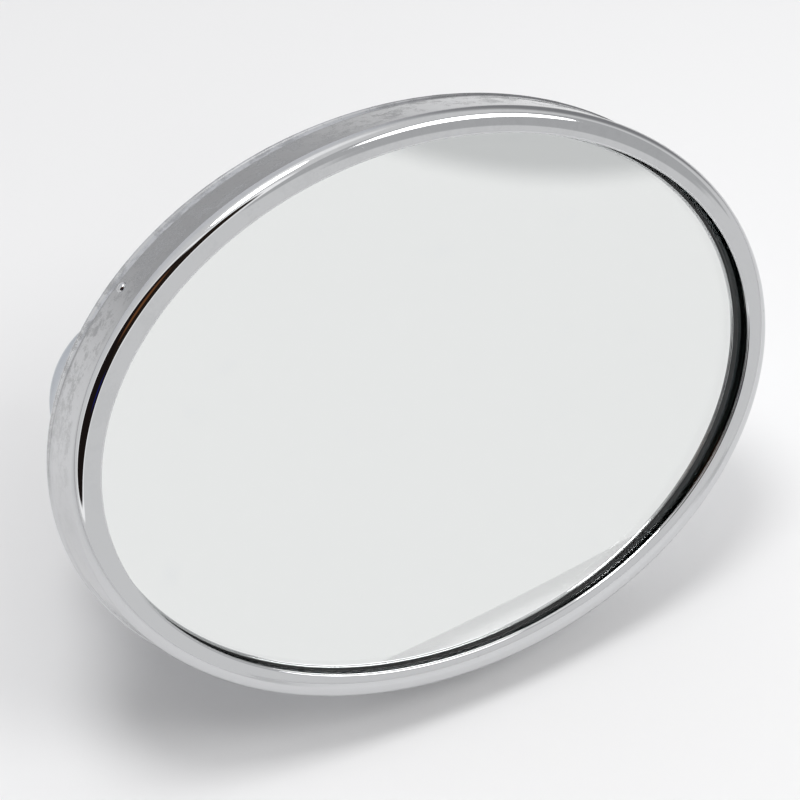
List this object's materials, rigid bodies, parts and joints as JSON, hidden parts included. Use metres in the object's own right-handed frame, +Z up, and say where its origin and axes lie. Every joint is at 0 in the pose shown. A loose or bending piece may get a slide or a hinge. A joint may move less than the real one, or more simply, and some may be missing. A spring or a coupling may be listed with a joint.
{
  "type": "oval convex mirror head",
  "caption": "Oval convex mirror in a chromed bezel, on a ball joint with a threaded mounting stud behind it.",
  "frame": {"origin": "on the stud's axis, in the plane where a bracket seats against the flat washer", "axes": "+Z up; +X along the long axis of the oval; the glass faces -Y and, as the head leans back 30.3 degrees, up; the stud is square to the glass, so it points towards +Y and down"},
  "size_m": [0.163, 0.1179, 0.1118],
  "materials": {
    "chrome_bezel": "polished chrome plate with light haze and small pits",
    "chrome_shell": "chrome plate over pressed steel",
    "chrome_boss": "chrome plate over a die casting",
    "black_rubber": "smooth black rubber",
    "clear_glass": "clear float glass, faint green at the edge",
    "silvering": "silvered",
    "grey_paint": "matt protective paint",
    "foam": "closed-cell foam",
    "hardboard": "pressed fibre board",
    "zinc_steel": "bright zinc plate",
    "spring_steel": "oiled spring wire",
    "nylon": "natural nylon",
    "polished_ball": "polished steel"
  },
  "bodies": {
    "stud": {"pivot_ball": "polished_ball", "ball_stud": "zinc_steel", "jam_nut": "zinc_steel", "lock_washer": "zinc_steel", "flat_washer": "zinc_steel"},
    "liner_a": {"liner_rear": "nylon"},
    "liner_b": {"liner_front": "nylon"},
    "head": {"bezel": "chrome_bezel", "glass_seal": "black_rubber", "mirror_glass": "clear_glass", "silver_coat": "silvering", "backing_paint": "grey_paint", "foam_pad": "foam", "backing_board": "hardboard", "back_shell": "chrome_shell", "rim_rivets": "chrome_bezel", "boss_gasket": "black_rubber", "socket_housing": "chrome_boss", "reinforcement_ring": "zinc_steel", "flange_screws": "zinc_steel", "thrust_plate": "zinc_steel", "thrust_screws": "zinc_steel", "tension_spring": "spring_steel", "pressure_cup": "nylon"}
  },
  "joints": [
    {"name": "head_roll", "type": "hinge", "parent": "stud", "child": "liner_a", "pos_m": [0, -0.0272, 0.01589], "axis": [0, 0.8634, -0.5045], "continuous": true},
    {"name": "head_pan", "type": "hinge", "parent": "liner_a", "child": "liner_b", "pos_m": [0, -0.0272, 0.01589], "axis": [0, 0.5045, 0.8634], "range_deg": [-15, 15]},
    {"name": "head_tilt", "type": "hinge", "parent": "liner_b", "child": "head", "pos_m": [0, -0.0272, 0.01589], "axis": [1, 0, 0], "range_deg": [-25, 25]}
  ]
}
